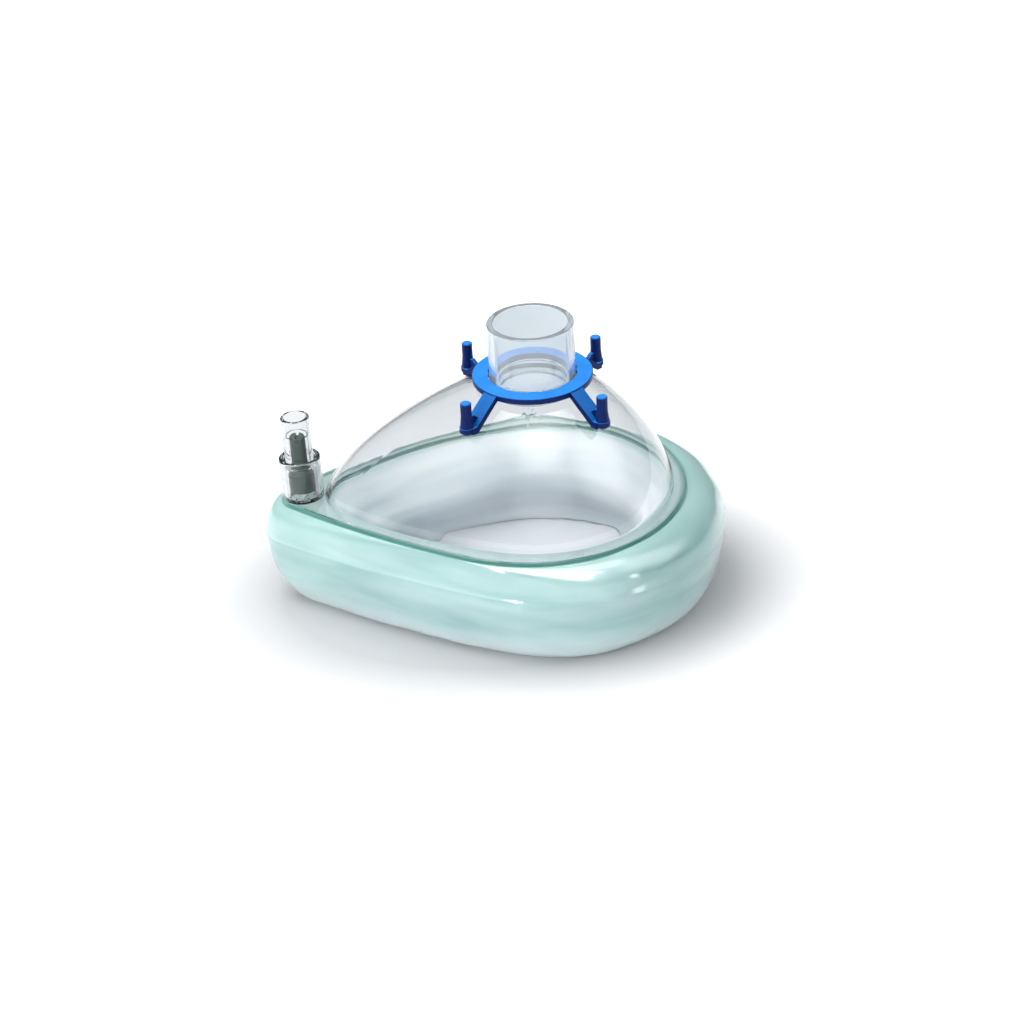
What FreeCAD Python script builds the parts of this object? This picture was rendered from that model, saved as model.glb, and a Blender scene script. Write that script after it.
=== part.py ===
import math
import os

import FreeCAD
import Part
import Sketcher

Vector = FreeCAD.Vector

# Air-cushion face mask of a resuscitator, large adult size, resting on its cushion. Millimetres.
# The origin is the middle of the rest face. +Z is up through the 22 mm socket, +X points to the
# chin end and -X to the nose end, where the cushion's inflation valve stands.
# The mask's outlines are teardrops: a small nose arc and a large chin arc, joined by two long side
# arcs that touch both. "reach" is how far the nose arc's centre lies behind the socket's axis, and
# "span" is the distance from it to the chin arc's centre.
SIZES = [
    ("cushion_height", 34.5, "rest face to the underside of the dome's flange"),
    ("belly_drop", 10.3, "cushion's widest level, below the flange"),
    ("cushion_fullness", 2.0, "exponent of the cushion's rounding, 2 is an ellipse"),
    ("belly_reach", 75.0, "teardrop at the cushion's widest level"),
    ("belly_span", 81.9, ""),
    ("belly_nose", 10.7, ""),
    ("belly_chin", 50.85, ""),
    ("belly_side", 460.0, ""),
    ("foot_reach", 63.5, "teardrop of the cushion's contact with the table"),
    ("foot_span", 69.0, ""),
    ("foot_nose", 9.0, ""),
    ("foot_chin", 41.8, ""),
    ("foot_side", 430.0, ""),
    ("land_reach", 71.6, "teardrop of the flange's edge"),
    ("land_span", 71.0, ""),
    ("land_nose", 7.7, ""),
    ("land_chin", 46.4, ""),
    ("land_side", 300.0, ""),
    ("hole_reach", 47.0, "teardrop of the cushion's hole where it is narrowest"),
    ("hole_span", 44.4, ""),
    ("hole_nose", 10.0, ""),
    ("hole_chin", 35.6, ""),
    ("hole_side", 127.0, ""),
    ("hole_narrow", 19.0, "narrowest level, above the rest face"),
    ("hole_flare", 2.4, "growth of the hole from there down to the rest face"),
    ("flange_thickness", 1.4, "clear flange under the dome's root"),
    ("flange_inset", 0.7, "flange edge inside the cushion's top edge"),
    ("root_reach", 50.6, "teardrop where the dome leaves the flange"),
    ("root_span", 51.3, ""),
    ("root_nose", 15.3, ""),
    ("root_chin", 41.3, ""),
    ("root_side", 124.0, ""),
    ("crown_reach", 1.5, "nearly round outline where the dome meets its neck"),
    ("crown_span", 3.0, ""),
    ("crown_nose", 12.8, ""),
    ("crown_chin", 12.8, ""),
    ("crown_side", 14.6, ""),
    ("crown_height", 37.4, "dome's top above the flange's underside"),
    ("dome_fullness", 1.32, "exponent of the dome's profile, outward"),
    ("dome_lift", 1.44, "exponent of the dome's profile, upward"),
    ("dome_wall", 1.3, "thickness of the clear dome"),
    ("neck_radius", 14.8, "collar that holds the socket"),
    ("neck_height", 37.8, "collar's top above the flange's underside"),
    ("neck_depth", 5.5, "length of the collar below its top"),
    ("socket_radius", 13.0, "outside of the 22 mm socket"),
    ("socket_bore", 11.1, "mean radius of the 22 mm female taper"),
    ("socket_ledge", 10.3, "radius of the passage below the socket"),
    ("socket_depth", 17.5, "bore's length from the rim to the ledge"),
    ("socket_lead", 0.3, "rounding of the rim"),
    ("socket_above", 16.5, "rim above the hook ring's top"),
    ("socket_below", 5.5, "socket's lower end below the hook ring's top"),
    ("bond_gap", 0.05, "glue line round a bonded piece"),
    ("ring_gap", 0.3, "hook ring above the collar"),
    ("ring_inner", 13.5, "hook ring's hole"),
    ("ring_radius", 18.15, "hook ring's outside"),
    ("ring_thickness", 1.9, ""),
    ("ring_round", 0.4, "rounding of the ring's edge"),
    ("lug_inner", 13.2, "tips of the lugs that steady the ring on the socket"),
    ("lug_width", 2.4, ""),
    ("arm_width", 5.0, ""),
    ("arm_start", 16.5, "arm's root, inside the ring"),
    ("arm_shoulder", 18.0, "where the arm's top starts to slope"),
    ("post_circle", 28.0, "socket's axis to each strap post"),
    ("post_top", 0.9, "posts' tops above the ring's top"),
    ("post_length", 10.0, "foot's underside to the post's top"),
    ("post_radius", 1.65, "its straight upper end"),
    ("post_straight", 4.3, "length of that end"),
    ("post_root", 2.05, "radius where the post meets its foot"),
    ("foot_radius", 2.3, "post's rounded foot"),
    ("foot_thickness", 2.1, ""),
    ("foot_chamfer", 0.6, ""),
    ("tip_chamfer", 0.25, ""),
    ("gusset_width", 1.4, "rib between arm and post"),
    ("gusset_height", 3.0, ""),
    ("gusset_length", 2.6, ""),
    ("valve_reach", 72.6, "valve's axis behind the socket's axis"),
    ("cup_radius", 6.4, "clear cup on the nose platform"),
    ("cup_bore", 4.9, ""),
    ("cup_height", 13.5, "above the platform"),
    ("cup_round", 0.5, "rounding of the cup's lip"),
    ("spigot_radius", 5.6, "cup's lower end, through the flange"),
    ("spigot_bore", 3.9, ""),
    ("spigot_depth", 5.0, "below the flange's underside"),
    ("seat_drop", 0.4, "ledge under the perforated disc, below the platform"),
    ("disc_radius", 4.85, "perforated disc"),
    ("disc_thickness", 0.8, ""),
    ("disc_hole", 1.4, "air hole in its middle"),
    ("vent_radius", 0.4, "each small air hole"),
    ("vent_circle", 3.3, ""),
    ("skirt_radius", 4.85, "valve tube's lower end, inside the cup"),
    ("skirt_bore", 4.25, "chamber round the stem"),
    ("skirt_top", 12.9, "above the platform"),
    ("seal_seat", 10.7, "chamber's roof above the platform"),
    ("tube_radius", 4.4, "valve tube above the cup"),
    ("tube_top", 27.2, "its rim above the platform"),
    ("tube_round", 0.3, "rounding of its rim"),
    ("port_bore", 3.45, "inflation port"),
    ("port_depth", 6.0, ""),
    ("guide_bore", 3.05, "narrower bore round the stem"),
    ("stem_radius", 2.4, "stem's rod"),
    ("stem_top", 21.0, "stem's tip above the platform"),
    ("stem_round", 0.8, "rounding of the tip"),
    ("slot_width", 1.1, "air slot across the tip"),
    ("slot_depth", 1.3, ""),
    ("stem_skirt", 4.0, "stem's wide lower end"),
    ("stem_bottom", 2.5, "its underside above the platform"),
    ("stem_shoulder", 8.0, "its top above the platform"),
    ("stem_hollow", 3.0, "radius of the hollow that takes the spring"),
    ("hollow_roof", 6.8, "hollow's roof above the platform"),
    ("seal_radius", 3.5, "elastomer ring on the shoulder"),
    ("seal_height", 2.5, ""),
    ("seal_gap", 0.05, "seal to the stem and its shoulder"),
    ("wire_radius", 0.2, "spring"),
    ("coil_radius", 2.4, ""),
    ("coil_pitch", 1.15, ""),
    ("coil_height", 5.75, ""),
    ("spring_gap", 0.1, "spring above the disc"),
]

FLANGE = "sizes.cushion_height"
PLATFORM = "(sizes.cushion_height + sizes.flange_thickness)"
NECK_TOP = "(sizes.cushion_height + sizes.neck_height)"
RING_BOTTOM = f"({NECK_TOP} + sizes.ring_gap)"
RING_TOP = f"({RING_BOTTOM} + sizes.ring_thickness)"
POST_TOP = f"({RING_TOP} + sizes.post_top)"
POST_BOTTOM = f"({POST_TOP} - sizes.post_length)"
FOOT_TOP = f"({POST_BOTTOM} + sizes.foot_thickness)"
SOCKET_RIM = f"({RING_TOP} + sizes.socket_above)"
SOCKET_BOTTOM = f"({RING_TOP} - sizes.socket_below)"
NOSE_LENGTH = "(sizes.belly_reach + sizes.belly_nose)"
CHIN_LENGTH = "(sizes.belly_span - sizes.belly_reach + sizes.belly_chin)"
AXIS_X = f"({NOSE_LENGTH} - {CHIN_LENGTH}) / 2"
VALVE_X = f"{AXIS_X} - sizes.valve_reach"

TEARDROP = ("reach", "span", "nose", "chin", "side")
START, END, CENTRE = 1, 2, 3
ORIGIN = (-1, 1)
HORIZONTAL_AXIS = -1
VERTICAL_AXIS = -2
HOOKS = 4
LUGS = 8
VENTS = 6

doc = FreeCAD.newDocument("face_mask")


def make_sheet():
    sheet = doc.addObject("Spreadsheet::Sheet", "sizes")
    for row, (alias, size, meaning) in enumerate(SIZES, start=1):
        sheet.set(f"A{row}", alias)
        sheet.set(f"B{row}", str(size))
        sheet.set(f"C{row}", meaning)
        sheet.setAlias(f"B{row}", alias)
    doc.recompute()
    return sheet


sheet = make_sheet()


def value(expression):
    """The present value of an expression, to draw a sketch near its solution."""
    return float(sheet.evalExpression(expression))


def new_body(label, x=AXIS_X):
    body = doc.addObject("PartDesign::Body", label)
    body.Label = label
    body.setExpression("Placement.Base.x", x)
    return body


def origin_feature(body, role):
    return next(item for item in body.Origin.OriginFeatures if item.Role == role)


def new_sketch(body, name, plane):
    sketch = body.newObject("Sketcher::SketchObject", name)
    sketch.AttachmentSupport = [(origin_feature(body, plane), "")]
    sketch.MapMode = "FlatFace"
    return sketch


def level_sketch(body, name, height):
    sketch = new_sketch(body, name, "XY_Plane")
    sketch.setExpression("AttachmentOffset.Base.z", height)
    return sketch


def constrain(sketch, name, expression, kind, *places):
    """Add a dimension whose size is the expression's value."""
    index = sketch.addConstraint(Sketcher.Constraint(kind, *places, value(expression)))
    sketch.renameConstraint(index, name)
    sketch.setExpression(f"Constraints.{name}", expression)


def outline(name, grow="0"):
    """A teardrop of the sheet, grown outward by an offset."""
    size = {key: f"sizes.{name}_{key}" for key in TEARDROP}
    for key in ("nose", "chin", "side"):
        size[key] += f" + ({grow})"
    return size


def between(first, last, share):
    """The teardrop that lies a share of the way from the first to the last."""
    return {key: f"({first[key]}) * (1 - ({share})) + ({last[key]}) * ({share})" for key in TEARDROP}


def teardrop(body, name, height, size):
    sketch = level_sketch(body, name, height)
    reach, span, nose, chin, side = (value(size[key]) for key in TEARDROP)
    # a side arc touches both end arcs from outside, so its centre is this far from theirs
    to_nose = side - nose
    to_chin = side - chin
    along = (to_nose**2 - to_chin**2 + span**2) / (2 * span)
    across = math.sqrt(to_nose**2 - along**2)
    at_nose = math.atan2(across, -along)
    at_chin = math.atan2(across, span - along)
    arcs = [
        (Vector(-reach, 0, 0), nose, at_nose, 2 * math.pi - at_nose),
        (Vector(along - reach, -across, 0), side, at_chin, at_nose),
        (Vector(span - reach, 0, 0), chin, -at_chin, at_chin),
        (Vector(along - reach, across, 0), side, -at_nose, -at_chin),
    ]
    for centre, radius, first, last in arcs:
        circle = Part.Circle(centre, Vector(0, 0, 1), radius)
        sketch.addGeometry(Part.ArcOfCircle(circle, first, last))
    for arc in range(4):
        following = (arc + 1) % 4
        sketch.addConstraint(Sketcher.Constraint("Tangent", arc, START, following, END))
    for arc in (0, 2):
        sketch.addConstraint(Sketcher.Constraint("PointOnObject", arc, CENTRE, HORIZONTAL_AXIS))
    sketch.addConstraint(Sketcher.Constraint("Equal", 1, 3))
    constrain(sketch, "reach", size["reach"], "DistanceX", 0, CENTRE, *ORIGIN)
    constrain(sketch, "span", size["span"], "DistanceX", 0, CENTRE, 2, CENTRE)
    for arc, key in ((0, "nose"), (1, "side"), (2, "chin")):
        constrain(sketch, key, size[key], "Radius", arc)
    return sketch


def ring_sketch(body, name, height, radius, inner=None):
    """A round outline about the body's axis, with a hole in it if an inner radius is given."""
    sketch = level_sketch(body, name, height)
    rims = {"outer": radius, "inner": inner}
    for rim, size in rims.items():
        if size:
            index = sketch.addGeometry(Part.Circle(Vector(0, 0, 0), Vector(0, 0, 1), value(size)))
            sketch.addConstraint(Sketcher.Constraint("Coincident", index, CENTRE, *ORIGIN))
            constrain(sketch, rim, size, "Radius", index)
    return sketch


def profile(body, name, corners, axis="0"):
    """A closed outline of straight edges on the XZ plane.

    Each corner is a distance from a vertical axis and a height; the axis stands at x = axis.
    """
    sketch = new_sketch(body, name, "XZ_Plane")
    sketch.setExpression("AttachmentOffset.Base.x", axis)
    points = [Vector(value(out), value(up), 0) for out, up in corners]
    for index, point in enumerate(points):
        sketch.addGeometry(Part.LineSegment(point, points[(index + 1) % len(points)]))
    for index in range(len(points)):
        following = (index + 1) % len(points)
        sketch.addConstraint(Sketcher.Constraint("Coincident", index, END, following, START))
    for index, (out, up) in enumerate(corners):
        if value(out) == 0:
            sketch.addConstraint(Sketcher.Constraint("PointOnObject", index, START, VERTICAL_AXIS))
        else:
            constrain(sketch, f"out_{index}", out, "DistanceX", *ORIGIN, index, START)
        constrain(sketch, f"up_{index}", up, "DistanceY", *ORIGIN, index, START)
    return sketch


def revolve(body, name, corners, axis="0"):
    sketch = profile(body, f"{name}_profile", corners, axis)
    turned = body.newObject("PartDesign::Revolution", name)
    turned.Profile = sketch
    turned.ReferenceAxis = (sketch, ["V_Axis"])
    turned.Angle = 360
    doc.recompute()
    return turned


def pad(body, sketch, name, length, both_ways=False):
    block = body.newObject("PartDesign::Pad", name)
    block.Profile = sketch
    block.setExpression("Length", length)
    block.Midplane = both_ways
    doc.recompute()
    return block


def pocket(body, sketch, name, depth, both_ways=False):
    """Cut a sketch downward or to both sides, and make sure that it took material away."""
    before = body.Shape.Volume
    cut = body.newObject("PartDesign::Pocket", name)
    cut.Profile = sketch
    cut.setExpression("Length", depth)
    cut.Midplane = both_ways
    doc.recompute()
    if not cut.Shape.Volume < before:
        raise RuntimeError(f"{name} cut nothing")
    return cut


def loft(body, kind, name, sketches):
    """Join outlines on rising levels into one smooth skin, added or cut away."""
    skin = body.newObject(f"PartDesign::{kind}Loft", name)
    skin.Profile = sketches[0]
    skin.Sections = sketches[1:]
    doc.recompute()
    return skin


def polar(body, features, name, count):
    pattern = body.newObject("PartDesign::PolarPattern", name)
    pattern.Originals = features
    pattern.Axis = (origin_feature(body, "Z_Axis"), [""])
    pattern.Angle = 360
    pattern.Occurrences = count
    body.Tip = pattern
    doc.recompute()
    return pattern


def round_edges(body, base, name, radius, wanted):
    """Round the edges for which wanted(edge) is true."""
    edges = enumerate(base.Shape.Edges, start=1)
    names = [f"Edge{number}" for number, edge in edges if wanted(edge)]
    fillet = body.newObject("PartDesign::Fillet", name)
    fillet.Base = (base, names)
    fillet.setExpression("Radius", radius)
    doc.recompute()
    return fillet


def is_circle_at(edge, height, radii):
    """True for an edge that is part of a level circle at this height with one of these radii."""
    if not isinstance(edge.Curve, Part.Circle):
        return False
    level = abs(edge.Vertexes[0].Z - height) < 0.01
    return level and any(abs(edge.Curve.Radius - radius) < 0.01 for radius in radii)


def bore_for_valve(body, height, depth):
    """The hole that the valve cup's spigot passes through, cut downward from a level."""
    hole = level_sketch(body, "valve_hole", height)
    radius = "sizes.spigot_radius + sizes.bond_gap"
    spot = Vector(-value("sizes.valve_reach"), 0, 0)
    hole.addGeometry(Part.Circle(spot, Vector(0, 0, 1), value(radius)))
    hole.addConstraint(Sketcher.Constraint("PointOnObject", 0, CENTRE, HORIZONTAL_AXIS))
    constrain(hole, "reach", "sizes.valve_reach", "DistanceX", 0, CENTRE, *ORIGIN)
    constrain(hole, "radius", radius, "Radius", 0)
    pocket(body, hole, "valve_bore", depth)


def dome_levels(body, name, wall, base_height):
    """Sections of the dome's skin, a quarter of a superellipse from the root up to the crown."""
    root = outline("root", f"-({wall})")
    crown = outline("crown", f"-({wall})")
    rise = f"(sizes.crown_height - ({wall}) - sizes.flange_thickness)"
    sections = [teardrop(body, f"{name}_base", base_height, root)]
    for turn in (0, 15, 30, 45, 60, 75, 90):
        share = f"1 - cos({turn}) ^ (2 / sizes.dome_fullness)"
        height = f"{PLATFORM} + {rise} * sin({turn}) ^ (2 / sizes.dome_lift)"
        sections.append(teardrop(body, f"{name}_{turn}", height, between(root, crown, share)))
    return sections


def make_dome_shell():
    body = new_body("dome_shell")
    edge = teardrop(body, "flange_outline", FLANGE, outline("land", "-sizes.flange_inset"))
    pad(body, edge, "flange", "sizes.flange_thickness")
    inside_flange = f"{FLANGE} + sizes.flange_thickness / 2"
    loft(body, "Additive", "dome", dome_levels(body, "dome", "0", inside_flange))
    collar_bottom = f"{NECK_TOP} - sizes.neck_depth"
    collar = ring_sketch(body, "collar_outline", collar_bottom, "sizes.neck_radius")
    pad(body, collar, "collar", "sizes.neck_depth")
    below_flange = f"{FLANGE} - sizes.dome_wall"
    loft(body, "Subtractive", "inside", dome_levels(body, "inside", "sizes.dome_wall", below_flange))
    fit = "sizes.socket_radius + sizes.bond_gap"
    pocket(body, ring_sketch(body, "neck_hole", NECK_TOP, fit), "neck_bore", "sizes.neck_depth * 2")
    bore_for_valve(body, PLATFORM, "sizes.flange_thickness * 2")
    return body


def cushion_levels(body):
    """Sections of the cushion's outer skin, from the rest face up to the flange."""
    belly = outline("belly")
    belly_height = f"({FLANGE} - sizes.belly_drop)"
    power = "(2 / sizes.cushion_fullness)"
    sections = []
    for turn in (90, 70, 45, 20, 0):
        share = f"1 - cos({turn}) ^ {power}"
        height = f"{belly_height} * (1 - sin({turn}) ^ {power})"
        size = between(belly, outline("foot"), share)
        sections.append(teardrop(body, f"lower_{turn}", height, size))
    for turn in (20, 45, 70, 90):
        share = f"1 - cos({turn}) ^ {power}"
        height = f"{belly_height} + sizes.belly_drop * sin({turn}) ^ {power}"
        size = between(belly, outline("land"), share)
        sections.append(teardrop(body, f"upper_{turn}", height, size))
    return sections


def hole_levels(body):
    """Sections of the hole that the face enters: flared at the rest face, then up to the dome."""
    narrow = outline("hole")
    top = outline("root", "-sizes.dome_wall * 1.3")
    sections = []
    for share, grow in ((-0.05, 1.0), (0.25, 0.6), (0.6, 0.2), (1.0, 0.0)):
        height = f"sizes.hole_narrow * {share}"
        size = outline("hole", f"sizes.hole_flare * {grow}")
        sections.append(teardrop(body, f"hole_{len(sections)}", height, size))
    for share in (0.3, 0.65, 1.0):
        height = f"sizes.hole_narrow + (sizes.cushion_height - sizes.hole_narrow + 1) * {share}"
        size = between(narrow, top, share)
        sections.append(teardrop(body, f"hole_{len(sections)}", height, size))
    return sections


def make_air_cushion():
    body = new_body("air_cushion")
    loft(body, "Additive", "skin", cushion_levels(body))
    loft(body, "Subtractive", "face_hole", hole_levels(body))
    bore_for_valve(body, FLANGE, "sizes.spigot_depth + 1")
    return body


def make_connector_tube():
    body = new_body("connector_tube")
    ledge = f"{SOCKET_RIM} - sizes.socket_depth"
    corners = [
        ("sizes.socket_ledge", SOCKET_BOTTOM),
        ("sizes.socket_radius", SOCKET_BOTTOM),
        ("sizes.socket_radius", SOCKET_RIM),
        ("sizes.socket_bore", SOCKET_RIM),
        ("sizes.socket_bore", ledge),
        ("sizes.socket_ledge", ledge),
    ]
    tube = revolve(body, "tube", corners)
    rim_height = value(SOCKET_RIM)
    radii = (value("sizes.socket_radius"), value("sizes.socket_bore"))
    round_edges(body, tube, "rim", "sizes.socket_lead", lambda edge: is_circle_at(edge, rim_height, radii))
    return body


def make_hook_ring():
    body = new_body("hook_ring")
    body.Placement.Rotation = FreeCAD.Rotation(Vector(0, 0, 1), 45)
    flat = ring_sketch(body, "ring_outline", RING_BOTTOM, "sizes.ring_radius", "sizes.ring_inner")
    ring = pad(body, flat, "ring", "sizes.ring_thickness")
    heights = (value(RING_BOTTOM), value(RING_TOP))
    outer = (value("sizes.ring_radius"),)
    round_edges(
        body,
        ring,
        "ring_edge",
        "sizes.ring_round",
        lambda edge: any(is_circle_at(edge, height, outer) for height in heights),
    )

    # an arm slopes from the ring down to the foot of its post
    arm_outline = profile(
        body,
        "arm_outline",
        [
            ("sizes.arm_start", RING_BOTTOM),
            ("sizes.arm_start", f"{RING_TOP} - sizes.ring_round"),
            ("sizes.arm_shoulder", f"{RING_TOP} - sizes.ring_round"),
            ("sizes.post_circle - sizes.post_root + 0.3", FOOT_TOP),
            ("sizes.post_circle", FOOT_TOP),
            ("sizes.post_circle", POST_BOTTOM),
            ("sizes.post_circle - sizes.post_root", POST_BOTTOM),
            ("sizes.arm_shoulder - 0.7", RING_BOTTOM),
        ],
    )
    arm = pad(body, arm_outline, "arm", "sizes.arm_width", both_ways=True)
    post = revolve(
        body,
        "post",
        [
            ("0", POST_BOTTOM),
            ("sizes.foot_radius - sizes.foot_chamfer", POST_BOTTOM),
            ("sizes.foot_radius", f"{POST_BOTTOM} + sizes.foot_chamfer"),
            ("sizes.foot_radius", FOOT_TOP),
            ("sizes.post_root", FOOT_TOP),
            ("sizes.post_radius", f"{POST_TOP} - sizes.post_straight"),
            ("sizes.post_radius", f"{POST_TOP} - sizes.tip_chamfer"),
            ("sizes.post_radius - sizes.tip_chamfer", POST_TOP),
            ("0", POST_TOP),
        ],
        axis="sizes.post_circle",
    )
    post_face = "sizes.post_circle - sizes.post_radius"
    rib_outline = profile(
        body,
        "rib_outline",
        [
            (post_face, f"{FOOT_TOP} - 0.5"),
            (post_face, f"{FOOT_TOP} + sizes.gusset_height"),
            (f"{post_face} - 0.8", f"{FOOT_TOP} + sizes.gusset_height"),
            (f"{post_face} - sizes.gusset_length", f"{FOOT_TOP} + sizes.gusset_height / 2"),
            (f"{post_face} - sizes.gusset_length", f"{FOOT_TOP} - 0.5"),
        ],
    )
    rib = pad(body, rib_outline, "rib", "sizes.gusset_width", both_ways=True)
    polar(body, [arm, post, rib], "hooks", HOOKS)

    lug_outline = level_sketch(body, "lug_outline", RING_BOTTOM)
    tip = value("sizes.lug_inner")
    back = value("sizes.ring_inner + 0.5")
    half = value("sizes.lug_width") / 2
    corners = [Vector(tip, -half, 0), Vector(back, -half, 0), Vector(back, half, 0), Vector(tip, half, 0)]
    for index, corner in enumerate(corners):
        lug_outline.addGeometry(Part.LineSegment(corner, corners[(index + 1) % 4]))
    for index in range(4):
        following = (index + 1) % 4
        lug_outline.addConstraint(Sketcher.Constraint("Coincident", index, END, following, START))
    for index, direction in enumerate(("Horizontal", "Vertical", "Horizontal")):
        lug_outline.addConstraint(Sketcher.Constraint(direction, index))
    lug_outline.addConstraint(Sketcher.Constraint("Symmetric", 0, START, 2, END, HORIZONTAL_AXIS))
    constrain(lug_outline, "tip", "sizes.lug_inner", "DistanceX", *ORIGIN, 0, START)
    constrain(lug_outline, "back", "sizes.ring_inner + 0.5", "DistanceX", *ORIGIN, 0, END)
    constrain(lug_outline, "width", "sizes.lug_width", "DistanceY", 0, START, 2, END)
    lug = pad(body, lug_outline, "lug", "sizes.ring_thickness")
    polar(body, [lug], "lugs", LUGS)
    return body


def make_valve_cup():
    body = new_body("valve_cup", VALVE_X)
    lip = f"{PLATFORM} + sizes.cup_height"
    seat = f"{PLATFORM} - sizes.seat_drop"
    bottom = f"{FLANGE} - sizes.spigot_depth"
    corners = [
        ("sizes.spigot_bore", bottom),
        ("sizes.spigot_radius", bottom),
        ("sizes.spigot_radius", PLATFORM),
        ("sizes.cup_radius", PLATFORM),
        ("sizes.cup_radius", lip),
        ("sizes.cup_bore", lip),
        ("sizes.cup_bore", seat),
        ("sizes.spigot_bore", seat),
    ]
    cup = revolve(body, "cup", corners)
    height = value(lip)
    radii = (value("sizes.cup_radius"), value("sizes.cup_bore"))
    round_edges(body, cup, "lip", "sizes.cup_round", lambda edge: is_circle_at(edge, height, radii))
    return body


def make_valve_base():
    body = new_body("valve_base", VALVE_X)
    bottom = f"{PLATFORM} - sizes.seat_drop"
    top = f"{bottom} + sizes.disc_thickness"
    flat = ring_sketch(body, "disc_outline", bottom, "sizes.disc_radius", "sizes.disc_hole")
    pad(body, flat, "disc", "sizes.disc_thickness")
    hole = level_sketch(body, "vent_outline", top)
    spot = Vector(value("sizes.vent_circle"), 0, 0)
    hole.addGeometry(Part.Circle(spot, Vector(0, 0, 1), value("sizes.vent_radius")))
    hole.addConstraint(Sketcher.Constraint("PointOnObject", 0, CENTRE, HORIZONTAL_AXIS))
    constrain(hole, "circle", "sizes.vent_circle", "DistanceX", *ORIGIN, 0, CENTRE)
    constrain(hole, "radius", "sizes.vent_radius", "Radius", 0)
    vent = pocket(body, hole, "vent", "sizes.disc_thickness * 2")
    polar(body, [vent], "vents", VENTS)
    return body


def make_valve_housing():
    body = new_body("valve_housing", VALVE_X)
    bottom = f"{PLATFORM} - sizes.seat_drop + sizes.disc_thickness + sizes.bond_gap"
    shoulder = f"{PLATFORM} + sizes.skirt_top"
    roof = f"{PLATFORM} + sizes.seal_seat"
    rim = f"{PLATFORM} + sizes.tube_top"
    port_floor = f"{rim} - sizes.port_depth"
    corners = [
        ("sizes.skirt_bore", bottom),
        ("sizes.skirt_radius", bottom),
        ("sizes.skirt_radius", shoulder),
        ("sizes.tube_radius", shoulder),
        ("sizes.tube_radius", rim),
        ("sizes.port_bore", rim),
        ("sizes.port_bore", port_floor),
        ("sizes.guide_bore", port_floor),
        ("sizes.guide_bore", roof),
        ("sizes.skirt_bore", roof),
    ]
    tube = revolve(body, "tube", corners)
    height = value(rim)
    outer = (value("sizes.tube_radius"),)
    round_edges(body, tube, "rim", "sizes.tube_round", lambda edge: is_circle_at(edge, height, outer))
    return body


def make_valve_stem():
    body = new_body("valve_stem", VALVE_X)
    bottom = f"{PLATFORM} + sizes.stem_bottom"
    shoulder = f"{PLATFORM} + sizes.stem_shoulder"
    roof = f"{PLATFORM} + sizes.hollow_roof"
    tip = f"{PLATFORM} + sizes.stem_top"
    corners = [
        ("sizes.stem_hollow", bottom),
        ("sizes.stem_skirt", bottom),
        ("sizes.stem_skirt", shoulder),
        ("sizes.stem_radius", shoulder),
        ("sizes.stem_radius", tip),
        ("0", tip),
        ("0", roof),
        ("sizes.stem_hollow", roof),
    ]
    rod = revolve(body, "rod", corners)
    height = value(tip)
    radii = (value("sizes.stem_radius"),)
    round_edges(body, rod, "tip", "sizes.stem_round", lambda edge: is_circle_at(edge, height, radii))
    half = "sizes.slot_width / 2"
    slot_outline = profile(
        body,
        "slot_outline",
        [
            (f"-{half}", f"{tip} - sizes.slot_depth"),
            (half, f"{tip} - sizes.slot_depth"),
            (half, f"{tip} + 1"),
            (f"-{half}", f"{tip} + 1"),
        ],
    )
    pocket(body, slot_outline, "slot", "sizes.stem_radius * 3", both_ways=True)
    return body


def make_valve_seal():
    body = new_body("valve_seal", VALVE_X)
    bottom = f"{PLATFORM} + sizes.stem_shoulder + sizes.seal_gap"
    inner = "sizes.stem_radius + sizes.seal_gap"
    flat = ring_sketch(body, "seal_outline", bottom, "sizes.seal_radius", inner)
    pad(body, flat, "seal", "sizes.seal_height")
    return body


def make_valve_spring():
    body = new_body("valve_spring", VALVE_X)
    disc_top = f"{PLATFORM} - sizes.seat_drop + sizes.disc_thickness"
    start = f"{disc_top} + sizes.spring_gap + sizes.wire_radius"
    wire = new_sketch(body, "wire", "XZ_Plane")
    spot = Vector(value("sizes.coil_radius"), value(start), 0)
    wire.addGeometry(Part.Circle(spot, Vector(0, 0, 1), value("sizes.wire_radius")))
    constrain(wire, "coil", "sizes.coil_radius", "DistanceX", *ORIGIN, 0, CENTRE)
    constrain(wire, "start", start, "DistanceY", *ORIGIN, 0, CENTRE)
    constrain(wire, "radius", "sizes.wire_radius", "Radius", 0)
    coil = body.newObject("PartDesign::AdditiveHelix", "coil")
    coil.Profile = wire
    coil.ReferenceAxis = (wire, ["V_Axis"])
    coil.Mode = "pitch-height-angle"
    coil.setExpression("Pitch", "sizes.coil_pitch")
    coil.setExpression("Height", "sizes.coil_height - 2 * sizes.wire_radius")
    doc.recompute()
    return body


MAKERS = [
    make_dome_shell,
    make_connector_tube,
    make_hook_ring,
    make_air_cushion,
    make_valve_cup,
    make_valve_base,
    make_valve_housing,
    make_valve_stem,
    make_valve_seal,
    make_valve_spring,
]


def check(bodies):
    for item in doc.Objects:
        if "Invalid" in item.State or "Error" in item.State:
            raise RuntimeError(f"{item.Label} failed: {item.State}")
    for body in bodies:
        if body.Shape.isNull() or not body.Shape.isValid() or len(body.Shape.Solids) != 1:
            raise RuntimeError(f"{body.Label} isn't one valid solid")


bodies = [make() for make in MAKERS]
doc.recompute()
check(bodies)
os.makedirs("parts", exist_ok=True)
for body in bodies:
    body.Shape.exportStep(f"parts/{body.Label}.step")
    print(f"{body.Label}: {body.Shape.Volume:.0f} mm3")
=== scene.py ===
"""Looks of the air-cushion face mask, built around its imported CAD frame.

Lengths are metres, except where a comment, a docstring or a name ending in _mm says millimetres.
"""

import math

import bpy
from mathutils import Matrix, Vector, noise


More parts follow.
